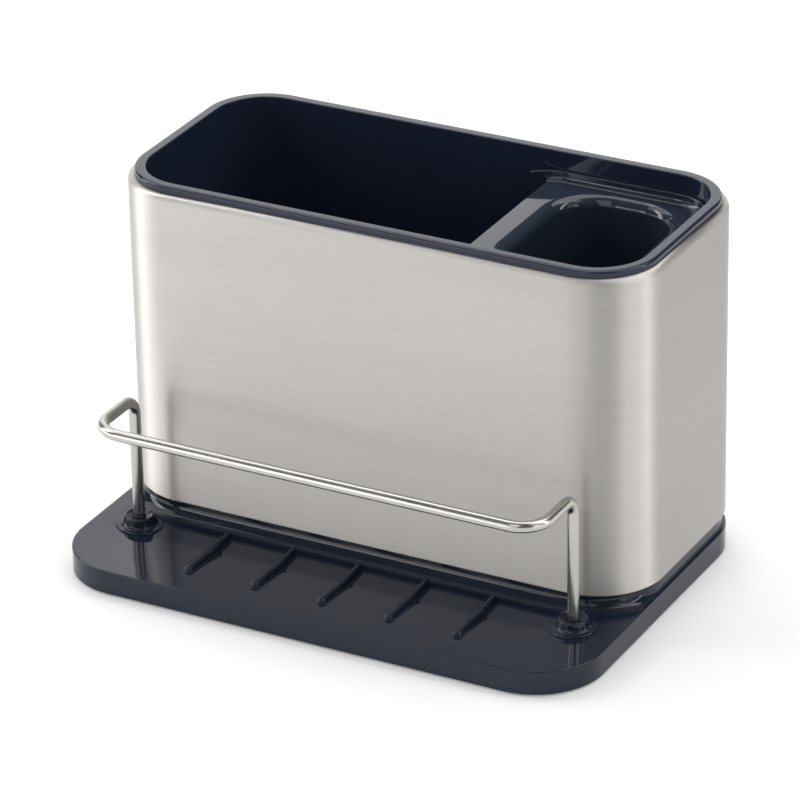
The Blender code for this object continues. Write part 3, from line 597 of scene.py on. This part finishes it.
def cove_ring(angle):
    """One ring of the concave cove, at an angle from its foot to its top."""
    points = []
    for x, y, normal in sleeve_outline(PLINTH_INSET):
        radius = cove_radius_at(x, normal)
        reach = radius * (1.0 - math.sin(angle))
        foot_z = dish_height(x + normal[0] * radius, y + normal[1] * radius)
        height = min(radius, LEDGE_Z - COVE_TOP_LAND - foot_z)
        rise = height * (1.0 - math.cos(angle))
        points.append((x + normal[0] * reach, y + normal[1] * reach, foot_z + rise))
    return points


def dish_rings(inner, outer, drop, steps):
    """Rings over the dished surface between two rings, from the inner to the outer."""
    rings = []
    for share in spread(1.0, 0.0, steps):
        points = []
        for inside, outside in zip(inner, outer):
            x = outside[0] + (inside[0] - outside[0]) * share
            y = outside[1] + (inside[1] - outside[1]) * share
            points.append((x, y, dish_height(x, y) - drop))
        rings.append(points)
    return rings


def base_shell():
    """Shell of the base from the well over the apron to the underside."""
    well_inset = SPIGOT_INSET + SPIGOT_WALL
    rings = [
        ring(sleeve_outline(well_inset + EDGE_RADIUS), WELL_FLOOR_Z),
        ring(sleeve_outline(well_inset), WELL_FLOOR_Z + EDGE_RADIUS),
        ring(sleeve_outline(well_inset), SPIGOT_TOP_Z),
        ring(sleeve_outline(SPIGOT_INSET + EDGE_RADIUS), SPIGOT_TOP_Z),
        ring(sleeve_outline(SPIGOT_INSET), SPIGOT_TOP_Z - EDGE_RADIUS),
        ring(sleeve_outline(SPIGOT_INSET), LEDGE_Z),
        ring(sleeve_outline(PLINTH_INSET), LEDGE_Z),
    ]
    rings += [cove_ring(angle) for angle in arc_steps(90.0, 90.0 / ARC_STEPS, ARC_STEPS - 1)]
    rings += dish_rings(cove_ring(0.0), ring(tray_outline(EDGE_RADIUS), 0.0), 0.0,
                        DISH_STEPS)
    for angle in arc_steps(90.0 - 90.0 / ARC_STEPS, 0.0, ARC_STEPS - 1):
        inset = EDGE_RADIUS * (1.0 - math.cos(angle))
        rings.append(ring(tray_outline(inset), TRAY_EDGE_Z - EDGE_RADIUS * (1.0 - math.sin(angle))))
    rings.append(ring(tray_outline(0.0), FOOT_PROUD))
    rings.append(ring(tray_outline(TRAY_WALL), FOOT_PROUD))
    inner = ring(sleeve_outline(SPIGOT_INSET), 0.0)
    outer = ring(tray_outline(TRAY_WALL), 0.0)
    rings += reversed(dish_rings(inner, outer, TRAY_WALL, CEILING_STEPS))
    rings.append(ring(sleeve_outline(SPIGOT_INSET), WELL_FLOOR_Z - TRAY_WALL))
    return skin_rings("base_tray_shell", rings, TRAY)


def rib_path(offset, crown):
    """Plan points round a rib with the rib's height at each.

    The offset moves the wall outwards, and the crown's share narrows it towards the top.
    """
    back_half = RIB_BACK_WIDTH / 2 * (1.0 - crown) + offset
    nose_half = RIB_NOSE_WIDTH / 2 * (1.0 - crown) + offset
    back_y = SLEEVE_FRONT_Y - RIB_BACK_GAP - RIB_BACK_WIDTH / 2
    nose_y = SLEEVE_FRONT_Y - RIB_BACK_GAP - RIB_LENGTH + RIB_NOSE_WIDTH / 2
    left = []
    for share in spread(0.0, 1.0, RIB_STEPS):
        height = RIB_BACK_HEIGHT + (RIB_NOSE_HEIGHT - RIB_BACK_HEIGHT) * share
        left.append((-back_half + (back_half - nose_half) * share,
                     back_y + (nose_y - back_y) * share, height))
    points = list(left)
    for angle in arc_steps(0.0, 180.0, RIB_END_STEPS)[1:-1]:
        points.append((-nose_half * math.cos(angle), nose_y - nose_half * math.sin(angle),
                       RIB_NOSE_HEIGHT))
    points += [(-x, y, height) for x, y, height in reversed(left)]
    for angle in arc_steps(0.0, 180.0, RIB_END_STEPS)[1:-1]:
        points.append((back_half * math.cos(angle), back_y + back_half * math.sin(angle),
                       RIB_BACK_HEIGHT))
    return points


def draining_rib(index):
    """Raised rib with a filleted root, a rounded crown and round ends."""
    centre_x = (index - (RIB_COUNT - 1) / 2) * RIB_PITCH
    rings = []
    for angle in arc_steps(0.0, 90.0, RIB_ROOT_STEPS):
        offset = RIB_ROOT_FILLET * (1.0 - math.sin(angle))
        rise = RIB_ROOT_FILLET * (1.0 - math.cos(angle))
        rings.append([(centre_x + x, y, dish_height(centre_x + x, y) + rise)
                      for x, y, _ in rib_path(offset, 0.0)])
    for angle in arc_steps(0.0, RIB_CROWN_END_DEGREES, RIB_CROWN_STEPS):
        points = []
        for x, y, height in rib_path(0.0, RIB_CROWN_SHARE * (1.0 - math.cos(angle))):
            crown = RIB_CROWN_SHARE * min(RIB_NOSE_WIDTH / 2, height)
            top = dish_height(centre_x + x, y) + height
            points.append((centre_x + x, y, top - crown * (1.0 - math.sin(angle))))
        rings.append(points)
    return skin_rings(f"drain_rib_{index + 1}", rings, TRAY, caps=(False, True))


def socket_boss(side):
    """Boss with a round flange, a tapered collar, a funnel and a bore."""
    bore = WIRE_RADIUS + SOCKET_PLAY
    profile = [(FLANGE_RADIUS, above_dish(-EDGE_RADIUS))]
    for angle in arc_steps(0.0, 90.0, BOSS_EDGE_STEPS):
        rise = FLANGE_THICKNESS - FLANGE_EDGE * (1.0 - math.sin(angle))
        profile.append((FLANGE_RADIUS - FLANGE_EDGE * (1.0 - math.cos(angle)), above_dish(rise)))
    for angle in arc_steps(0.0, 90.0, BOSS_NECK_STEPS):
        rise = FLANGE_THICKNESS + NECK_FILLET * (1.0 - math.cos(angle))
        profile.append((NECK_RADIUS + NECK_FILLET * (1.0 - math.sin(angle)), above_dish(rise)))
    for angle in arc_steps(0.0, 90.0, BOSS_EDGE_STEPS):
        profile.append((COLLAR_RADIUS - COLLAR_EDGE * (1.0 - math.cos(angle)),
                        SOCKET_TOP - COLLAR_EDGE * (1.0 - math.sin(angle))))
    mouth = COLLAR_RADIUS - COLLAR_EDGE
    for share in spread(FUNNEL_START_SHARE, 1.0, FUNNEL_STEPS):
        profile.append((mouth - (mouth - bore) * share,
                        SOCKET_TOP - COLLAR_FUNNEL * share ** FUNNEL_POWER))
    profile.append((bore, SOCKET_FLOOR))
    label = "left" if side < 0 else "right"
    return skin_rings(f"rail_socket_{label}", turned_rings(profile, (side * POST_X, POST_Y)), TRAY,
                      caps=(False, True))


def underside_height(x, y):
    """Height half a wall above the ceiling of the hollow under the base."""
    if y > SLEEVE_FRONT_Y + SPIGOT_INSET:
        return WELL_FLOOR_Z - TRAY_WALL / 2
    return dish_height(x, y) - TRAY_WALL / 2


def web(shape, stations, side, bottom):
    """Thin web through stations of x, y and top height."""
    rings = []
    for x, y, top in stations:
        rings.append([(x - side[0], y - side[1], bottom), (x + side[0], y + side[1], bottom),
                      (x + side[0], y + side[1], top), (x - side[0], y - side[1], top)])
    skin(shape, rings)


def foot_places():
    """Centres of the four foot pads."""
    x = TRAY_HALF_X - FOOT_CORNER_INSET
    y = TRAY_HALF_Y - FOOT_CORNER_INSET
    return [(side_x * x, side_y * y) for side_y in (-1, 1) for side_x in (-1, 1)]


def underside():
    """Webs, foot seats and socket tubes under the base."""
    shape = bmesh.new()
    half_web = WEB_THICKNESS / 2
    bottom = FOOT_PROUD + WEB_CLEARANCE
    apron_y = SLEEVE_FRONT_Y - APRON_WEB_OFFSET
    apron_half_x = SLEEVE_WIDTH / 2 - APRON_WEB_SIDE_GAP
    half_x = SLEEVE_WIDTH / 2 - SPIGOT_INSET + WEB_ROOT
    web(shape, [(x, apron_y, underside_height(x, apron_y))
                for x in spread(-apron_half_x, apron_half_x, FRONT_STEPS)],
        (0.0, half_web), bottom)
    web(shape, [(x, SLEEVE_Y, underside_height(x, SLEEVE_Y)) for x in (-half_x, half_x)],
        (0.0, half_web), bottom)
    wall_back_y = SLEEVE_FRONT_Y + SPIGOT_INSET
    apron_ys = spread(-TRAY_HALF_Y + TRAY_WALL / 2, PLINTH_FRONT_Y + WEB_ROOT, FRONT_STEPS)
    plinth_ys = (wall_back_y - WEB_ROOT, SLEEVE_Y + SLEEVE_DEPTH / 2 - SPIGOT_INSET + WEB_ROOT)
    for index in range(CROSS_WEB_COUNT):
        x = (index - (CROSS_WEB_COUNT - 1) / 2) * CROSS_WEB_SPACING
        stations = [(x, y, underside_height(x, y)) for y in apron_ys]
        stations += [(x, y, WELL_FLOOR_Z - TRAY_WALL / 2) for y in plinth_ys]
        web(shape, stations, (half_web, 0.0), bottom)
    recess = FOOT_RADIUS + SEAT_GAP
    for x, y in foot_places():
        skin(shape, turned_rings([
            (recess + FOOT_SEAT_WALL, underside_height(x, y)),
            (recess + FOOT_SEAT_WALL, FOOT_PROUD),
            (recess, FOOT_PROUD),
            (recess, FOOT_THICKNESS + SEAT_GAP),
        ], (x, y)), caps=(False, True))
    for side in (-1, 1):
        skin(shape, turned_rings([
            (SOCKET_TUBE_RADIUS, above_dish(-TRAY_WALL / 2)),
            (SOCKET_TUBE_RADIUS, SOCKET_TUBE_BOTTOM),
        ], (side * POST_X, POST_Y)), caps=(False, True))
    return link_mesh("base_underside_webs", shape, TRAY)


def build_base():
    """Every shown piece of the base."""
    show(base_shell(), "base", "base_tray")
    for index in range(RIB_COUNT):
        show(draining_rib(index), "base")
    for side in (-1, 1):
        show(socket_boss(side), "base")
    show(underside(), "base")


# Sleeve, liner, cup and rail

def build_sleeve():
    """Sheet steel sleeve."""
    profile = []
    for angle in arc_steps(180.0, 90.0, ARC_STEPS):
        profile.append((SHOULDER_RADIUS * (1.0 + math.cos(angle)),
                        SLEEVE_TOP_Z - SHOULDER_RADIUS * (1.0 - math.sin(angle))))
    profile.append((TOP_FLANGE, SLEEVE_TOP_Z))
    profile.append((TOP_FLANGE, SLEEVE_TOP_Z - SHEET))
    inner_shoulder = SHOULDER_RADIUS - SHEET
    for angle in arc_steps(90.0, 180.0, ARC_STEPS):
        profile.append((SHOULDER_RADIUS + inner_shoulder * math.cos(angle),
                        SLEEVE_TOP_Z - SHOULDER_RADIUS + inner_shoulder * math.sin(angle)))
    inner_hem = HEM_RADIUS - SHEET
    for angle in arc_steps(180.0, 270.0, ARC_STEPS):
        profile.append((HEM_RADIUS + inner_hem * math.cos(angle),
                        SLEEVE_BOTTOM_Z + HEM_RADIUS + inner_hem * math.sin(angle)))
    profile.append((HEM_FLANGE, SLEEVE_BOTTOM_Z + SHEET))
    profile.append((HEM_FLANGE, SLEEVE_BOTTOM_Z))
    for angle in arc_steps(270.0, 180.0, ARC_STEPS):
        profile.append((HEM_RADIUS * (1.0 + math.cos(angle)),
                        SLEEVE_BOTTOM_Z + HEM_RADIUS * (1.0 + math.sin(angle))))
    rings = [ring(sleeve_outline(inset), height) for inset, height in profile]
    sleeve = skin_rings("steel_sleeve_sheet", rings, STEEL, closed_loop=True)
    show(sleeve, "sleeve", "steel_sleeve")


def drain_slot(x, y):
    """Rounded slot tool through the liner's floor."""
    outline = rounded_outline(DRAIN_SLOT_WIDTH / 2, DRAIN_SLOT_LENGTH / 2,
                              DRAIN_SLOT_WIDTH / 2 * SLOT_END_SHARE, (x, y))
    low = LINER_BOTTOM_Z - CUT_OVERRUN
    high = LINER_FLOOR_Z + CUT_OVERRUN
    points = [(px, py) for index, (px, py, _) in enumerate(outline) if index % 2 == 0]
    return skin_rings("slot_tool", [[(px, py, low) for px, py in points],
                                    [(px, py, high) for px, py in points]])


def build_liner():
    """Open tub with a proud rim."""
    outer_inset = RIM_INNER_INSET - LINER_WALL
    bottom_outer = outer_inset + LINER_DRAFT
    bottom_inner = RIM_INNER_INSET + LINER_DRAFT
    underside_z = SLEEVE_TOP_Z + SEAT_GAP
    profile = []
    for angle in arc_steps(270.0, 180.0, ARC_STEPS):
        profile.append((bottom_outer + LINER_FLOOR_RADIUS * (1.0 + math.cos(angle)),
                        LINER_BOTTOM_Z + LINER_FLOOR_RADIUS * (1.0 + math.sin(angle))))
    profile.append((outer_inset, underside_z))
    profile.append((RIM_INSET, underside_z))
    for angle in arc_steps(180.0, RIM_ROUND_END_DEGREES, RIM_STEPS):
        profile.append((RIM_INSET + RIM_OUTER_ROUND * (1.0 + math.cos(angle)),
                        RIM_TOP_Z - RIM_CROWN - RIM_OUTER_ROUND * (1.0 - math.sin(angle))))
    crown_width = RIM_WIDTH - RIM_OUTER_ROUND - RIM_EDGE
    for share in spread(0.0, 1.0, RIM_STEPS)[1:-1]:
        profile.append((RIM_INSET + RIM_OUTER_ROUND + crown_width * share,
                        RIM_TOP_Z - RIM_CROWN * (1.0 - share) ** 2))
    for angle in arc_steps(90.0, 0.0, RIM_STEPS):
        profile.append((RIM_INNER_INSET - RIM_EDGE * (1.0 - math.cos(angle)),
                        RIM_TOP_Z - RIM_EDGE * (1.0 - math.sin(angle))))
    inner_radius = LINER_FLOOR_RADIUS - LINER_WALL
    for angle in arc_steps(180.0, 270.0, ARC_STEPS):
        profile.append((bottom_inner + inner_radius * (1.0 + math.cos(angle)),
                        LINER_FLOOR_Z + inner_radius * (1.0 + math.sin(angle))))
    rings = [ring(sleeve_outline(inset), height) for inset, height in profile]
    liner = skin_rings("liner_tub", rings, LINER)
    tools = []
    for row in (-1, 1):
        for column in range(DRAIN_SLOT_COLUMNS):
            offset = (column - (DRAIN_SLOT_COLUMNS - 1) / 2) * DRAIN_SLOT_PITCH
            tools.append(drain_slot(DRAIN_FIELD_X + offset,
                                    SLEEVE_Y + row * DRAIN_ROW_SPACING / 2))
    cut(liner, tools)
    show(liner, "liner", "liner")


def ear_tool(flange_left, lip_top_z):
    """Tool for the shelf's free edge, which sweeps outwards up the lip into an ear."""
    far_x = flange_left - CUT_OVERRUN
    low_z = SHELF_Z - CUP_WALL - CUT_OVERRUN
    high_z = lip_top_z + CUT_OVERRUN
    profile = [(far_x, low_z), (SHELF_LEFT_EDGE, low_z)]
    for share in spread(0.0, 1.0, EAR_STEPS):
        profile.append((SHELF_LEFT_EDGE - CUP_EAR * share ** 2, SHELF_Z + CUP_LIP_HEIGHT * share))
    profile.append((SHELF_LEFT_EDGE - CUP_EAR, high_z))
    profile.append((far_x, high_z))
    half_y = SLEEVE_DEPTH / 2
    return skin_rings("ear_tool", [[(x, SLEEVE_Y - half_y, z) for x, z in profile],
                                   [(x, SLEEVE_Y + half_y, z) for x, z in profile]])


def build_cup():
    """Drop-in cup under a shelf with a raised lip."""
    flange_inset = RIM_INNER_INSET + CUP_PLAY
    flange_right = SLEEVE_WIDTH / 2 - flange_inset
    flange_left = SHELF_LEFT_EDGE - CUP_EAR - CUP_LIP_HEIGHT - CUP_LIP_FILLET
    flange_half_x = (flange_right - flange_left) / 2
    flange_half_y = SLEEVE_DEPTH / 2 - flange_inset
    flange_corner = SLEEVE_CORNER - flange_inset
    flange_centre = ((flange_right + flange_left) / 2, SLEEVE_Y)
    lip_foot = CUP_LIP_THICKNESS + CUP_LIP_FILLET
    hole_left = SHELF_LEFT_EDGE + HOLE_LEFT_STRIP
    hole_right = flange_right - lip_foot - HOLE_RIGHT_LAND
    hole_half_x = (hole_right - hole_left) / 2
    hole_half_y = flange_half_y - lip_foot - HOLE_SIDE_LAND
    hole_corner = HOLE_CORNER_SHARE * min(hole_half_x, hole_half_y)
    hole_centre = ((hole_right + hole_left) / 2, SLEEVE_Y)

    def flange(inset):
        return rounded_outline(flange_half_x - inset, flange_half_y - inset,
                               flange_corner - inset, flange_centre)

    def hole(inset):
        return rounded_outline(hole_half_x - inset, hole_half_y - inset,
                               hole_corner - inset, hole_centre)

    lip_top_z = SHELF_Z + CUP_LIP_HEIGHT
    cup_floor_z = CUP_BOTTOM_Z + CUP_WALL
    bottom_inset = HOLE_LIP_RADIUS + CUP_DRAFT
    inner_radius = CUP_FLOOR_RADIUS - CUP_WALL
    rings = []
    for angle in arc_steps(270.0, 180.0, ARC_STEPS):
        inset = bottom_inset - CUP_WALL + CUP_FLOOR_RADIUS * (1.0 + math.cos(angle))
        rings.append(ring(hole(inset), CUP_BOTTOM_Z + CUP_FLOOR_RADIUS * (1.0 + math.sin(angle))))
    under_radius = HOLE_LIP_RADIUS - CUP_WALL
    for angle in arc_steps(0.0, 90.0, ARC_STEPS):
        height = SHELF_Z - HOLE_LIP_RADIUS + under_radius * math.sin(angle)
        rings.append(ring(hole(under_radius * math.cos(angle)), height))
    rings.append(ring(flange(0.0), SHELF_Z - CUP_WALL))
    lip_round = CUP_LIP_THICKNESS / 3
    for angle in arc_steps(180.0, 90.0, LIP_STEPS):
        rings.append(ring(flange(lip_round * (1.0 + math.cos(angle))),
                          lip_top_z - lip_round * (1.0 - math.sin(angle))))
    for angle in arc_steps(90.0, 0.0, LIP_STEPS):
        rings.append(ring(flange(CUP_LIP_THICKNESS - lip_round * (1.0 - math.cos(angle))),
                          lip_top_z - lip_round * (1.0 - math.sin(angle))))
    for angle in arc_steps(180.0, 270.0, ARC_STEPS):
        inset = CUP_LIP_THICKNESS + CUP_LIP_FILLET * (1.0 + math.cos(angle))
        rings.append(ring(flange(inset), SHELF_Z + CUP_LIP_FILLET * (1.0 + math.sin(angle))))
    for angle in arc_steps(90.0, 0.0, ARC_STEPS):
        rings.append(ring(hole(HOLE_LIP_RADIUS * math.cos(angle)),
                          SHELF_Z - HOLE_LIP_RADIUS * (1.0 - math.sin(angle))))
    for angle in arc_steps(180.0, 270.0, ARC_STEPS):
        inset = bottom_inset + inner_radius * (1.0 + math.cos(angle))
        rings.append(ring(hole(inset), cup_floor_z + inner_radius * (1.0 + math.sin(angle))))
    cup = skin_rings("cup_insert_shell", rings, CUP)
    tools = [ear_tool(flange_left, lip_top_z)]
    for index in range(CUP_DRAIN_COUNT):
        y = SLEEVE_Y + (index - (CUP_DRAIN_COUNT - 1) / 2) * CUP_DRAIN_PITCH
        tools.append(skin_rings("drain_tool", turned_rings([
            (CUP_DRAIN_RADIUS, CUP_BOTTOM_Z - CUT_OVERRUN),
            (CUP_DRAIN_RADIUS, cup_floor_z + CUT_OVERRUN),
        ], (hole_centre[0], y))))
    cut(cup, tools)
    show(cup, "cup", "cup_insert")


def build_rail():
    """One bent wire."""
    bar_y = POST_Y - RAIL_REACH
    half = [(POST_X, POST_Y, SOCKET_FLOOR + SEAT_GAP)]
    for angle in arc_steps(0.0, 90.0, WIRE_BEND_STEPS):
        half.append((POST_X, POST_Y - TOP_BEND_RADIUS * (1.0 - math.cos(angle)),
                     RAIL_HEIGHT - TOP_BEND_RADIUS * (1.0 - math.sin(angle))))
    for angle in arc_steps(0.0, 90.0, WIRE_BEND_STEPS):
        half.append((POST_X - CORNER_BEND_RADIUS * (1.0 - math.cos(angle)),
                     bar_y + CORNER_BEND_RADIUS * (1.0 - math.sin(angle)), RAIL_HEIGHT))
    points = [(-x, y, z) for x, y, z in half] + half[::-1]
    curve = bpy.data.curves.new("rail_wire", "CURVE")
    curve.dimensions = "3D"
    curve.bevel_depth = WIRE_RADIUS
    curve.bevel_resolution = WIRE_BEVEL_STEPS
    curve.use_fill_caps = True
    spline = curve.splines.new("POLY")
    spline.points.add(len(points) - 1)
    for spline_point, place in zip(spline.points, points):
        spline_point.co = (*place, 1.0)
    spline.use_smooth = True
    curve.materials.append(WIRE)
    rail = bpy.data.objects.new("rail_wire", curve)
    bpy.context.scene.collection.objects.link(rail)
    show(rail, "rail", "rail")


# Floor, light and camera

def direction(azimuth, elevation):
    """Unit vector outwards at an azimuth from the front towards the right, in degrees."""
    turn = math.radians(azimuth)
    rise = math.radians(elevation)
    return Vector((math.sin(turn) * math.cos(rise), -math.cos(turn) * math.cos(rise),
                   math.sin(rise)))


def build_floor():
    """Pale floor that takes the object's shadow and is seen as white around it."""
    shape = bmesh.new()
    bmesh.ops.create_circle(shape, cap_ends=True, segments=FLOOR_SIDES, radius=FLOOR_RADIUS)
    upturn = bmesh.ops.extrude_edge_only(shape, edges=list(shape.edges))
    for part in upturn["geom"]:
        if isinstance(part, bmesh.types.BMVert):
            part.co.z = BACKDROP_HEIGHT
    tree, shader, material = new_material("pale_floor")
    shader.inputs["Base Color"].default_value = (*FLOOR_COLOUR, 1.0)
    shader.inputs["Roughness"].default_value = FLOOR_ROUGHNESS
    shader.inputs["Specular IOR Level"].default_value = FLOOR_SPECULAR
    shader.inputs["Emission Color"].default_value = (1.0, 1.0, 1.0, 1.0)
    path = tree.nodes.new("ShaderNodeLightPath")
    seen = path.outputs["Is Camera Ray"]
    for kind in ("Is Glossy Ray", "Is Transmission Ray"):
        seen = calculate(tree, "MAXIMUM", seen, path.outputs[kind])
    distance = tree.nodes.new("ShaderNodeVectorMath")
    distance.operation = "LENGTH"
    tree.links.new(object_coordinates(tree), distance.inputs[0])
    amount = map_range(tree, distance.outputs["Value"], (FLOOR_NEAR, FLOOR_FAR),
                       (FLOOR_GLOW, FLOOR_FAR_GLOW))
    tree.links.new(calculate(tree, "MULTIPLY", seen, amount), shader.inputs["Emission Strength"])
    floor = link_mesh("floor", shape, material)


def softbox(name, azimuth, elevation, width, height, radiance):
    """Rectangular soft light, placed and sized by the angles it covers."""
    outwards = direction(azimuth, elevation)
    data = bpy.data.lights.new(name, "AREA")
    data.shape = "RECTANGLE"
    data.size = 2.0 * LIGHT_DISTANCE * math.tan(math.radians(width / 2))
    data.size_y = 2.0 * LIGHT_DISTANCE * math.tan(math.radians(height / 2))
    data.energy = radiance * math.pi * data.size * data.size_y
    light = bpy.data.objects.new(name, data)
    light.location = Vector(LIGHT_TARGET) + outwards * LIGHT_DISTANCE
    light.rotation_euler = outwards.to_track_quat("Z", "Y").to_euler()
    bpy.context.scene.collection.objects.link(light)


def build_world():
    """Dim, even surroundings between the soft lights."""
    world = bpy.data.worlds.new("studio")
    world.use_nodes = True
    background = world.node_tree.nodes["Background"]
    background.inputs["Color"].default_value = (1.0, 1.0, 1.0, 1.0)
    background.inputs["Strength"].default_value = WORLD_STRENGTH
    bpy.context.scene.world = world


def build_camera():
    """Camera at the photograph's angle."""
    azimuth = math.radians(CAMERA_AZIMUTH)
    roll = math.radians(CAMERA_ROLL)
    back = direction(CAMERA_AZIMUTH, CAMERA_ELEVATION)
    level = Vector((math.cos(azimuth), math.sin(azimuth), 0.0))
    upright = back.cross(level)
    right = level * math.cos(roll) + upright * math.sin(roll)
    up = upright * math.cos(roll) - level * math.sin(roll)
    data = bpy.data.cameras.new("camera")
    data.sensor_width = SENSOR_MM
    data.lens = CAMERA_FOCAL_PX * SENSOR_MM / IMAGE_PX
    data.clip_start = CAMERA_CLIP_START
    data.clip_end = CAMERA_CLIP_END
    camera = bpy.data.objects.new("camera", data)
    place = Vector(CAMERA_ORIGIN) + right * CAMERA_OFFSET[0] + up * CAMERA_OFFSET[1]
    place += back * CAMERA_DISTANCE
    camera.matrix_world = Matrix((
        (right.x, up.x, back.x, place.x),
        (right.y, up.y, back.y, place.y),
        (right.z, up.z, back.z, place.z),
        (0.0, 0.0, 0.0, 1.0),
    ))
    bpy.context.scene.collection.objects.link(camera)
    bpy.context.scene.camera = camera


build_base()
build_sleeve()
build_liner()
build_cup()
build_rail()
for number in range(1, FOOT_COUNT + 1):
    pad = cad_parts[f"foot_pad_{number}"]
    pad.data.materials.clear()
    pad.data.materials.append(RUBBER)
build_floor()
build_world()
build_camera()
for values in SOFTBOXES:
    softbox(*values)
bpy.context.scene.view_settings.view_transform = "Standard"
